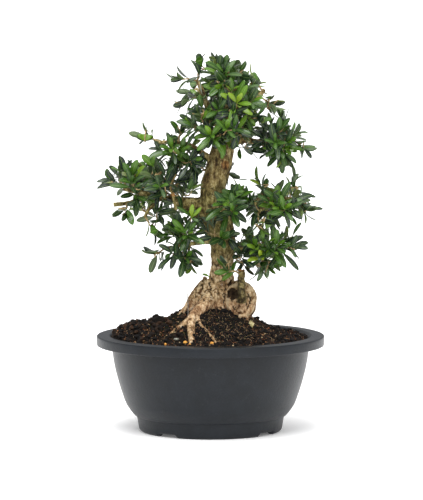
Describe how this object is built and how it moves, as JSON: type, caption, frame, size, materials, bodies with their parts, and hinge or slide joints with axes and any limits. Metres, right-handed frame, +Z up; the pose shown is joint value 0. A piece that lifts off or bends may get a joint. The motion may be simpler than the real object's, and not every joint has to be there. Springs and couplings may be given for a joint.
{
  "type": "potted bonsai tree",
  "caption": "Small bonsai tree with an S-shaped trunk, surface roots, a round burr and pads of narrow glossy leaves, in a round black plastic training pot with heaped soil.",
  "frame": {"origin": "on the ground under the centre of the pot, which is the centre of the box's bottom face", "axes": "+Z up along the pot's axis; +X to the right and +Y away from the viewer when the tree's front, with the burr on the right, is seen"},
  "size_m": [0.23, 0.23, 0.382],
  "materials": {
    "pot_plastic": "satin moulded",
    "potting_soil": "crumbly, damp",
    "trunk_bark": "rough corky bark",
    "branch_bark": "bark",
    "foliage": "glossy leaves",
    "fertiliser": "waxy",
    "dry_stem": "dry",
    "dead_leaf": "dry"
  },
  "bodies": {
    "root": {"branch_back": "branch_bark", "branch_crown_left": "branch_bark", "branch_crown_right": "branch_bark", "branch_left_low": "branch_bark", "branch_left_middle": "branch_bark", "branch_left_upper": "branch_bark", "branch_right_low": "branch_bark", "branch_right_middle": "branch_bark", "branch_right_upper": "branch_bark", "burr_shoot": "foliage", "dry_stalk": "dry_stem", "fallen_leaf": "dead_leaf", "fertiliser_grain_1": "fertiliser", "fertiliser_grain_2": "fertiliser", "pot": "pot_plastic", "soil": "potting_soil", "soil_clod": "potting_soil", "sprig_01": "foliage", "sprig_02": "foliage", "sprig_03": "foliage", "sprig_04": "foliage", "sprig_05": "foliage", "sprig_06": "foliage", "sprig_07": "foliage", "sprig_08": "foliage", "sprig_09": "foliage", "sprig_10": "foliage", "sprig_11": "foliage", "sprig_12": "foliage", "sprig_13": "foliage", "sprig_14": "foliage", "sprig_15": "foliage", "sprig_16": "foliage", "sprig_17": "foliage", "sprig_18": "foliage", "sprig_19": "foliage", "sprig_20": "foliage", "sprig_21": "foliage", "sprig_22": "foliage", "sprig_23": "foliage", "sprig_24": "foliage", "sprig_25": "foliage", "sprig_26": "foliage", "sprig_27": "foliage", "sprig_28": "foliage", "sprig_29": "foliage", "sprig_30": "foliage", "sprig_31": "foliage", "sprig_32": "foliage", "sprig_33": "foliage", "sprig_34": "foliage", "sprig_35": "foliage", "sprig_36": "foliage", "sprig_37": "foliage", "sprig_38": "foliage", "sprig_39": "foliage", "sprig_40": "foliage", "sprig_41": "foliage", "sprig_42": "foliage", "trunk": "trunk_bark"}
  },
  "joints": []
}
